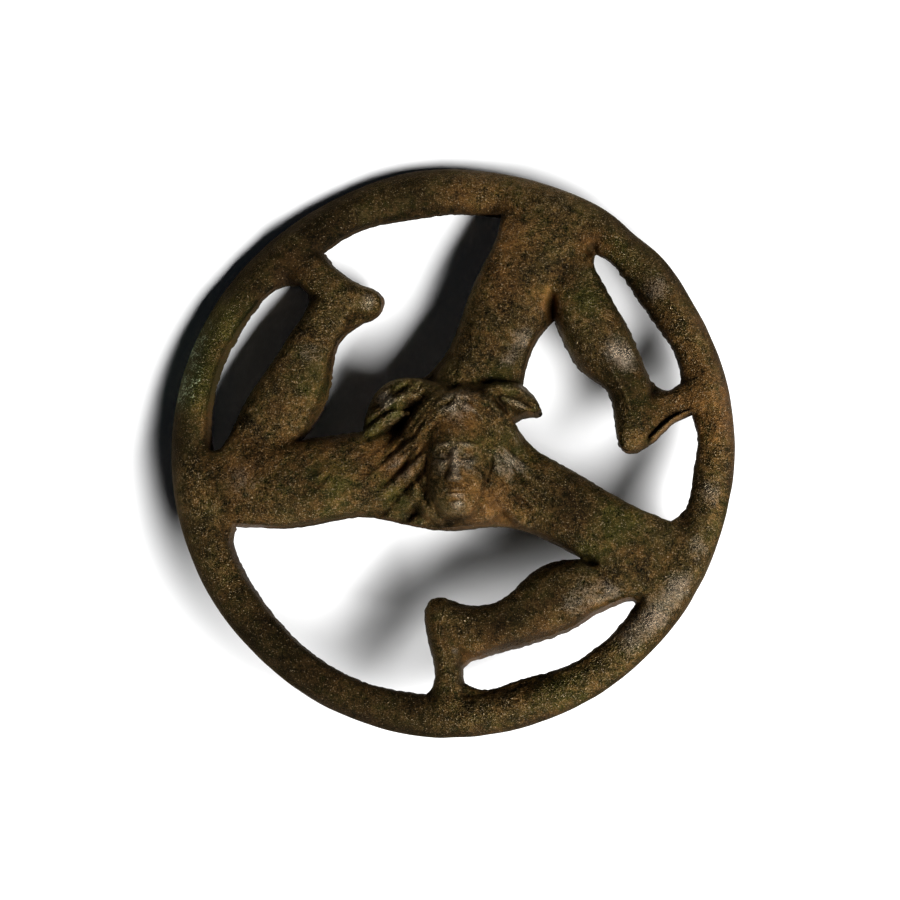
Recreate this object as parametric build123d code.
from build123d import *
import os
from collections import namedtuple
from math import atan2, cos, degrees, hypot, radians, sin, sqrt, tan

# A round openwork brooch cast in bronze: three bent running legs about a winged head, inside a ring.
# Lengths are in millimetres. The casting is drawn with its flat back on z = 0 and its front upwards.
# It is then leaned as it lies on a table, on its hinge, its catch and the far back edge of its ring.

# Ring
outer_radius = 25.0
ring_width = 3.5
ring_height = 2.1
ring_side_height = 0.8
ring_skirt = 0.7
back_edge_bevel = 0.45

# Legs
plate_thickness = 1.3
thigh_height = 3.4
calf_height = 3.0
foot_height = 2.5

# Head
head_length = 12.5
head_height = 5.9
wing_height = 4.2
head_offset = (-0.2, -0.4)

# At rest the casting leans by this many degrees, and raises the side that lies at this angle.
rest_lean = 10.0
raised_side = -64.0

# The pin's line, behind the right and the left thigh: its angle, and how far it passes from the middle
pin_angle = -16.0
pin_offset = -3.7

# Hinge lugs, at the back of the knee that points to the lower right
hinge_reach = 20.4
lug_radius = 1.6
lug_thickness = 1.2
lug_gap = 2.8

# Pin
pin_diameter = 1.3
pin_tip_diameter = 0.5
pin_taper_length = 5.0
cross_bar_diameter = 1.4
eye_diameter = 2.6
running_clearance = 0.15

# Catch
catch_reach = -10.6
catch_length = 2.4
catch_lip = 0.5
catch_wall = 0.8
catch_clearance = 0.3
pin_past_catch = 1.2

inner_radius = outer_radius - ring_width
back_radius = outer_radius - back_edge_bevel
cut_margin = 2.0

# The ring's bead is highest at this share of its width from the outer edge.
bead_crown = 0.5

# The lugs and the catch are cast on. Their roots reach into the plate by this share of its thickness.
cast_root = 0.5

# The outlines and ridges below are drawn with the ring's inner edge at this share of their unit.
drawn_inner_edge = 0.86
unit = inner_radius / drawn_inner_edge

# Openings of the casting, seen from the front. Each is a closed loop of smooth runs that meet in corners.
# A run lists the x and y of the points that it passes through, as shares of the unit, and starts where the
# run before it ends.
openings = {
    "upper_left": {
        "ring": [(-0.456, 0.712), (-0.320, 0.790), (-0.160, 0.824), (0.000, 0.844), (0.168, 0.836)],
        "upper_thigh": [(0.144, 0.744), (0.088, 0.632), (0.032, 0.488), (-0.016, 0.372), (-0.120, 0.256)],
        "left_wing": [(-0.232, 0.244), (-0.288, 0.180), (-0.316, 0.076)],
        "left_thigh": [(-0.420, 0.064), (-0.540, 0.044)],
        "left_calf": [(-0.464, 0.156), (-0.432, 0.280), (-0.404, 0.396), (-0.320, 0.468)],
        "left_heel": [(-0.262, 0.500), (-0.252, 0.540), (-0.284, 0.586)],
        "left_sole": [(-0.352, 0.614), (-0.416, 0.660), (-0.456, 0.712)],
    },
    "right": {
        "upper_thigh": [(0.360, 0.464), (0.312, 0.408), (0.276, 0.332), (0.252, 0.240)],
        "right_wing": [(0.290, 0.198), (0.316, 0.156)],
        "wing_tip": [(0.316, 0.132), (0.296, 0.124)],
        "under_wing": [(0.262, 0.124), (0.228, 0.104)],
        "right_thigh": [(0.288, 0.020), (0.400, -0.048), (0.560, -0.144), (0.700, -0.216), (0.772, -0.248)],
        "ring": [(0.820, -0.216), (0.860, -0.060), (0.874, 0.040), (0.852, 0.136)],
        "upper_sole": [(0.784, 0.108), (0.712, 0.044), (0.652, 0.004)],
        "upper_heel": [(0.612, -0.004), (0.588, 0.028)],
        "upper_calf": [(0.576, 0.104), (0.550, 0.224), (0.472, 0.288), (0.412, 0.352), (0.360, 0.464)],
    },
    "lower_left": {
        "head_and_thighs": [(-0.768, -0.264), (-0.640, -0.268), (-0.480, -0.252), (-0.320, -0.224),
                            (-0.160, -0.252), (0.000, -0.274), (0.200, -0.264), (0.320, -0.308),
                            (0.456, -0.384)],
        "lower_calf": [(0.352, -0.392), (0.248, -0.464), (0.180, -0.526), (0.080, -0.546), (-0.020, -0.520)],
        "lower_heel": [(-0.072, -0.524), (-0.096, -0.570)],
        "lower_foot": [(-0.088, -0.640), (-0.064, -0.736), (-0.064, -0.824), (-0.092, -0.860)],
        "ring": [(-0.240, -0.836), (-0.400, -0.776), (-0.560, -0.660), (-0.680, -0.520), (-0.760, -0.388),
                 (-0.782, -0.304), (-0.768, -0.264)],
    },
    "upper_slot": {
        "calf": [(0.504, 0.700), (0.500, 0.652), (0.560, 0.536), (0.620, 0.440), (0.668, 0.332),
                 (0.704, 0.252)],
        "instep": [(0.756, 0.218), (0.804, 0.242)],
        "ring": [(0.800, 0.320), (0.740, 0.432), (0.660, 0.544), (0.596, 0.644), (0.540, 0.684),
                 (0.504, 0.700)],
    },
    "left_slot": {
        "calf": [(-0.552, 0.590), (-0.518, 0.560), (-0.532, 0.500), (-0.580, 0.420), (-0.640, 0.320),
                 (-0.720, 0.208), (-0.780, 0.080), (-0.820, 0.016)],
        "knee": [(-0.848, 0.014), (-0.858, 0.050)],
        "ring": [(-0.850, 0.180), (-0.808, 0.320), (-0.756, 0.420), (-0.680, 0.524), (-0.600, 0.588),
                 (-0.552, 0.590)],
    },
    "lower_slot": {
        "ring": [(0.044, -0.820), (0.080, -0.844), (0.240, -0.812), (0.400, -0.764), (0.520, -0.688),
                 (0.600, -0.608), (0.650, -0.540)],
        "knee": [(0.632, -0.528), (0.600, -0.536)],
        "calf": [(0.520, -0.568), (0.440, -0.616), (0.320, -0.664), (0.160, -0.708), (0.068, -0.736)],
        "instep": [(0.040, -0.764), (0.044, -0.820)],
    },
}

# Ridges of the legs. A station gives the middle of a section, its half width and its crown. Lengths in the
# front view are shares of the unit, and the crown is a share of the height named with the ridge.
Station = namedtuple("Station", "x y half_width crown")

thighs = {
    "upper": [
        Station(0.060, 0.100, 0.165, 0.90),
        Station(0.128, 0.320, 0.150, 0.97),
        Station(0.172, 0.440, 0.156, 1.00),
        Station(0.206, 0.570, 0.154, 0.97),
        Station(0.264, 0.700, 0.168, 0.88),
        Station(0.316, 0.840, 0.164, 0.74),
        Station(0.345, 0.920, 0.130, 0.62),
    ],
    "left": [
        Station(-0.100, -0.060, 0.165, 0.88),
        Station(-0.320, -0.076, 0.152, 0.96),
        Station(-0.480, -0.100, 0.156, 1.00),
        Station(-0.600, -0.112, 0.162, 0.97),
        Station(-0.740, -0.112, 0.174, 0.86),
        Station(-0.840, -0.106, 0.160, 0.74),
        Station(-0.920, -0.100, 0.130, 0.62),
    ],
    "right": [
        Station(0.120, -0.040, 0.170, 0.90),
        Station(0.290, -0.140, 0.140, 0.96),
        Station(0.380, -0.192, 0.136, 1.00),
        Station(0.480, -0.248, 0.140, 0.98),
        Station(0.620, -0.328, 0.160, 0.92),
        Station(0.740, -0.400, 0.172, 0.80),
        Station(0.836, -0.452, 0.140, 0.66),
    ],
}
calves = {
    "upper": [
        Station(0.390, 0.690, 0.120, 0.70),
        Station(0.440, 0.560, 0.108, 0.92),
        Station(0.492, 0.452, 0.112, 1.00),
        Station(0.540, 0.360, 0.108, 0.98),
        Station(0.606, 0.262, 0.086, 0.88),
        Station(0.636, 0.176, 0.072, 0.80),
        Station(0.620, 0.070, 0.044, 0.72),
    ],
    "left": [
        Station(-0.700, 0.000, 0.130, 0.76),
        Station(-0.632, 0.130, 0.124, 0.94),
        Station(-0.568, 0.250, 0.118, 1.00),
        Station(-0.524, 0.350, 0.104, 0.98),
        Station(-0.468, 0.452, 0.090, 0.90),
        Station(-0.410, 0.528, 0.072, 0.82),
        Station(-0.310, 0.536, 0.044, 0.74),
    ],
    "right": [
        Station(0.660, -0.430, 0.130, 0.74),
        Station(0.520, -0.476, 0.110, 0.94),
        Station(0.396, -0.508, 0.116, 1.00),
        Station(0.284, -0.562, 0.108, 0.96),
        Station(0.170, -0.616, 0.088, 0.90),
        Station(0.066, -0.636, 0.086, 0.82),
        Station(-0.040, -0.588, 0.052, 0.76),
    ],
}
feet = {
    "upper": [
        Station(0.590, -0.020, 0.040, 0.74),
        Station(0.628, 0.046, 0.052, 0.90),
        Station(0.690, 0.116, 0.066, 1.00),
        Station(0.768, 0.160, 0.060, 0.98),
        Station(0.880, 0.196, 0.064, 0.80),
    ],
    "left": [
        Station(-0.246, 0.536, 0.040, 0.76),
        Station(-0.300, 0.540, 0.050, 0.88),
        Station(-0.368, 0.556, 0.056, 0.96),
        Station(-0.452, 0.604, 0.072, 1.00),
        Station(-0.520, 0.660, 0.076, 0.96),
        Station(-0.570, 0.724, 0.070, 0.80),
    ],
    "right": [
        Station(-0.060, -0.510, 0.044, 0.76),
        Station(-0.046, -0.564, 0.056, 0.90),
        Station(-0.026, -0.640, 0.062, 1.00),
        Station(-0.012, -0.740, 0.050, 0.96),
        Station(-0.012, -0.880, 0.058, 0.80),
    ],
}

# Head. Lengths in the front view are shares of the head's length, measured from a point that stands off the
# ring's middle by the head's offset. A crown is a share of the head's height, and on a feather of the wing's.
hair_mass = [
    Station(0.092, -0.520, 0.090, 0.46),
    Station(0.092, -0.420, 0.270, 0.60),
    Station(0.092, -0.240, 0.380, 0.72),
    Station(0.092, -0.020, 0.430, 0.80),
    Station(0.092, 0.200, 0.430, 0.86),
    Station(0.092, 0.380, 0.340, 0.82),
    Station(0.092, 0.500, 0.150, 0.52),
]
face = [
    Station(0.092, -0.470, 0.050, 0.58),
    Station(0.092, -0.410, 0.130, 0.77),
    Station(0.092, -0.280, 0.190, 0.86),
    Station(0.092, -0.110, 0.224, 0.92),
    Station(0.092, 0.060, 0.236, 0.96),
    Station(0.092, 0.220, 0.220, 0.97),
    Station(0.092, 0.350, 0.150, 0.90),
]
features = {
    "nose": [(0.092, 0.100, 0.030, 0.94), (0.092, 0.000, 0.036, 1.00), (0.092, -0.120, 0.048, 1.07),
             (0.092, -0.185, 0.056, 1.05), (0.092, -0.215, 0.040, 0.84)],
    "brow": [(0.070, 0.080, 0.026, 0.98), (-0.030, 0.108, 0.030, 0.975), (-0.125, 0.060, 0.020, 0.86)],
    "eye": [(-0.080, 0.006, 0.012, 0.87), (-0.010, 0.012, 0.030, 0.955), (0.046, 0.002, 0.012, 0.90)],
    "mouth": [(0.006, -0.292, 0.014, 0.82), (0.092, -0.284, 0.032, 0.905), (0.178, -0.292, 0.014, 0.82)],
    "chin": [(0.030, -0.392, 0.026, 0.76), (0.092, -0.386, 0.050, 0.84), (0.154, -0.392, 0.026, 0.76)],
}
paired_features = ("brow", "eye")
locks = [
    [(0.060, 0.380, 0.060, 0.99), (-0.100, 0.330, 0.068, 0.99), (-0.260, 0.190, 0.064, 0.90),
     (-0.390, 0.030, 0.030, 0.56)],
    [(-0.190, 0.120, 0.040, 0.88), (-0.320, -0.010, 0.058, 0.80), (-0.490, -0.120, 0.022, 0.44)],
    [(-0.180, -0.060, 0.040, 0.84), (-0.320, -0.170, 0.056, 0.74), (-0.450, -0.270, 0.022, 0.42)],
    [(-0.160, -0.200, 0.040, 0.78), (-0.280, -0.300, 0.052, 0.68), (-0.380, -0.410, 0.022, 0.40)],
    [(-0.080, -0.360, 0.036, 0.66), (-0.170, -0.430, 0.046, 0.58), (-0.260, -0.500, 0.020, 0.38)],
]
left_feathers = [
    [(-0.150, 0.450, 0.040, 1.16), (-0.360, 0.476, 0.056, 0.96), (-0.500, 0.440, 0.030, 0.66)],
    [(-0.190, 0.360, 0.044, 1.20), (-0.410, 0.380, 0.060, 0.98), (-0.580, 0.310, 0.030, 0.60)],
    [(-0.250, 0.250, 0.044, 1.14), (-0.440, 0.270, 0.056, 0.86), (-0.620, 0.190, 0.028, 0.52)],
]
right_feathers = [
    [(0.270, 0.470, 0.044, 1.20), (0.430, 0.424, 0.056, 1.04), (0.570, 0.370, 0.030, 0.80)],
    [(0.300, 0.370, 0.048, 1.22), (0.460, 0.326, 0.060, 1.04), (0.620, 0.280, 0.028, 0.76)],
]
face_middle = 0.092


# A ridge is lofted through D-shaped sections that stand square to its path. Its flat foot lies inside the
# plate, at its root's share of the plate's thickness. Its round top starts at the shoulder's share of that
# thickness, or, where the ridge is tall for its width, under its crown by most of its half width.
shoulder_share = 0.8
steepest_top = 0.95
roots = {
    "thigh": 0.30,
    "calf": 0.40,
    "foot": 0.50,
    "hair": 0.25,
    "face": 0.35,
    "feature": 0.60,
    "lock": 0.45,
    "feather": 0.55,
}


def ridge(stations, across, height, root):
    points = [Vector(s.x * across, s.y * across) for s in stations]
    sections = []
    for index, station in enumerate(stations):
        before = points[max(index - 1, 0)]
        after = points[min(index + 1, len(points) - 1)]
        along = (after - before).normalized()
        side = Vector(-along.Y, along.X) * station.half_width * across
        left = points[index] + side
        right = points[index] - side
        crown = station.crown * height
        rise = min(crown - shoulder_share * plate_thickness, steepest_top * station.half_width * across)
        foot = Vector(0, 0, root * plate_thickness)
        shoulder = Vector(0, 0, crown - rise)
        sections.append(Wire([
            Line(left + foot, right + foot).edge(),
            Line(right + foot, right + shoulder).edge(),
            ThreePointArc(right + shoulder, points[index] + Vector(0, 0, crown), left + shoulder).edge(),
            Line(left + shoulder, left + foot).edge(),
        ]))
    return Solid.make_loft(sections)


def rows(table):
    return [Station(*row) for row in table]


def mirrored(stations):
    return [s._replace(x=2 * face_middle - s.x) for s in stations]


# The ring and the plate that the legs are cut from, turned about the middle. The ring's bead runs on inwards
# past its inner edge, so that the openings cut it everywhere.
def ring_and_plate():
    crown_radius = outer_radius - bead_crown * ring_width
    corners = [(0, plate_thickness), (0, 0), (back_radius, 0), (outer_radius, ring_side_height)]
    profile = Polyline(*[Vector(x, 0, z) for x, z in corners])
    skirt_radius = inner_radius - ring_skirt
    bead = ThreePointArc(
        Vector(outer_radius, 0, ring_side_height),
        Vector(crown_radius, 0, ring_height),
        Vector(skirt_radius, 0, plate_thickness),
    )
    top = Line(Vector(skirt_radius, 0, plate_thickness), Vector(0, 0, plate_thickness))
    outline = Wire(profile.edges() + bead.edges() + top.edges())
    return revolve(Face(outline), Axis.Z, 360).solid()


def opening(runs):
    highest_crown = max(row[-1] for table in features.values() for row in table)
    loop = list(runs.values())
    start = loop[-1][-1]
    edges = []
    for run in loop:
        points = [start] + [point for point in run if point != start]
        spots = [Vector(x * unit, y * unit, -cut_margin) for x, y in points]
        edges.append(Spline(*spots).edge() if len(spots) > 2 else Line(*spots).edge())
        start = run[-1]
    height = highest_crown * head_height + 2 * cut_margin
    return extrude(Face(Wire(edges)), height, dir=(0, 0, 1)).solid()


def leg_ridges():
    ridges = [ridge(path, unit, thigh_height, roots["thigh"]) for path in thighs.values()]
    ridges += [ridge(path, unit, calf_height, roots["calf"]) for path in calves.values()]
    ridges += [ridge(path, unit, foot_height, roots["foot"]) for path in feet.values()]
    return ridges


def head_ridges():
    ridges = [ridge(face, head_length, head_height, roots["face"])]
    for name, table in features.items():
        ridges.append(ridge(rows(table), head_length, head_height, roots["feature"]))
        if name in paired_features:
            ridges.append(ridge(mirrored(rows(table)), head_length, head_height, roots["feature"]))
    for lock in locks:
        ridges.append(ridge(rows(lock), head_length, head_height, roots["lock"]))
        ridges.append(ridge(mirrored(rows(lock)), head_length, head_height, roots["lock"]))
    for feather in left_feathers + right_feathers:
        ridges.append(ridge(rows(feather), head_length, wing_height, roots["feather"]))
    return ridges


def joined(body, pieces):
    for piece in pieces:
        body = body.fuse(piece)
    return body


# Along the pin's line x runs towards the hinge, y lies across it, and z is up from the casting's back.
pin_line = Location((0, 0, 0), (0, 0, pin_angle)) * Location((0, pin_offset, 0))
lug_span = lug_gap + 2 * lug_thickness


# How far out towards the raised side a point beside the pin's line stands, counted from the far edge of the
# ring's back. The table's depth below the back grows from nothing there.
def reach_from_rest(x, y):
    turn = radians(raised_side - pin_angle)
    return x * cos(turn) + (y + pin_offset) * sin(turn) + back_radius


# The hinge hangs so low that the outer edge of one lug touches the table.
def hinge_depth():
    tilt = radians(rest_lean)
    nearest = min(reach_from_rest(hinge_reach, side * lug_span / 2) for side in (-1, 1))
    across = sin(radians(raised_side - pin_angle)) * sin(tilt)
    return (nearest * sin(tilt) - lug_radius * sqrt(1 - across ** 2)) / cos(tilt)


taper = (pin_diameter - pin_tip_diameter) / pin_taper_length
seated_diameter = pin_tip_diameter + taper * (pin_past_catch + catch_length / 2)
slot_height = seated_diameter + 2 * catch_clearance
catch_half_width = slot_height / 2 + catch_wall


# The catch's lip reaches the table with its nearest corner.
def catch_depth():
    end = catch_reach - catch_length / 2
    nearest = min(reach_from_rest(end, side * catch_half_width) for side in (-1, 1))
    return nearest * tan(radians(rest_lean))


hinge_drop = hinge_depth()
catch_pin_drop = catch_depth() - catch_lip - slot_height / 2
pin_drop_angle = degrees(atan2(hinge_drop - catch_pin_drop, hinge_reach - catch_reach))


def hinge_cylinder(radius, length, middle=0.0):
    turned = Location((hinge_reach, middle, -hinge_drop), (90, 0, 0))
    return Solid.make_cylinder(radius, length).moved(Location((0, 0, -length / 2))).moved(turned)


def lug(side):
    middle = side * (lug_gap + lug_thickness) / 2
    root = cast_root * plate_thickness
    stem = Solid.make_box(2 * lug_radius, lug_thickness, hinge_drop + root)
    stem = stem.moved(Location((hinge_reach - lug_radius, middle - lug_thickness / 2, -hinge_drop)))
    return stem.fuse(hinge_cylinder(lug_radius, lug_thickness, middle))


# The catch is a block with a slot, open on one side, that the tapering tip lies in.
def catch():
    root = cast_root * plate_thickness
    start = catch_reach - catch_length / 2
    slot_bottom = -catch_pin_drop - slot_height / 2
    block = Solid.make_box(catch_length, 2 * catch_half_width, catch_depth() + root)
    block = block.moved(Location((start, -catch_half_width, -catch_depth())))
    slot = Solid.make_box(catch_length + 2 * cut_margin, 2 * catch_half_width, slot_height)
    slot = slot.moved(Location((start - cut_margin, catch_wall - catch_half_width, slot_bottom)))
    return block.cut(slot)


def pin():
    shank_length = hypot(hinge_reach - catch_reach, hinge_drop - catch_pin_drop) + pin_past_catch
    straight = shank_length - pin_taper_length
    shank = Solid.make_cylinder(pin_diameter / 2, straight)
    tip = Solid.make_cone(pin_diameter / 2, pin_tip_diameter / 2, pin_taper_length)
    shank = shank.fuse(tip.moved(Location((0, 0, straight))))
    along = Location((hinge_reach, 0, -hinge_drop), (0, -90 + pin_drop_angle, 0))
    eye = hinge_cylinder(eye_diameter / 2, lug_gap - 2 * running_clearance)
    bar = hinge_cylinder(cross_bar_diameter / 2, lug_span)
    return shank.moved(along).fuse(eye, bar)


def roundel():
    gaps = [opening(runs) for runs in openings.values()]
    body = joined(ring_and_plate(), leg_ridges()).cut(*gaps)
    head = joined(ridge(hair_mass, head_length, head_height, roots["hair"]), head_ridges())
    head = head.moved(Location((*head_offset, 0))).cut(*gaps)
    holes = hinge_cylinder(cross_bar_diameter / 2 + running_clearance, lug_span + 2 * cut_margin)
    back = [piece.moved(pin_line) for piece in (lug(-1), lug(1), catch())]
    return joined(body, [head, *back]).cut(holes.moved(pin_line))


# The middle of the ring stands over the origin, at the level where the ring is widest.
tilt = radians(rest_lean)
raised_line = Location((0, 0, 0), (0, 0, raised_side))
lean = raised_line * Location((0, 0, 0), (0, -rest_lean, 0)) * raised_line.inverse()
drop = Location((0, 0, -ring_side_height))
lift = Location((0, 0, back_radius * sin(tilt) + ring_side_height * cos(tilt)))
at_rest = lift * lean * drop

nodes = {
    "roundel": at_rest * roundel(),
    "pin": at_rest * pin_line * pin(),
}

os.makedirs("parts", exist_ok=True)
for name, solid in nodes.items():
    export_step(solid, f"parts/{name}.step")
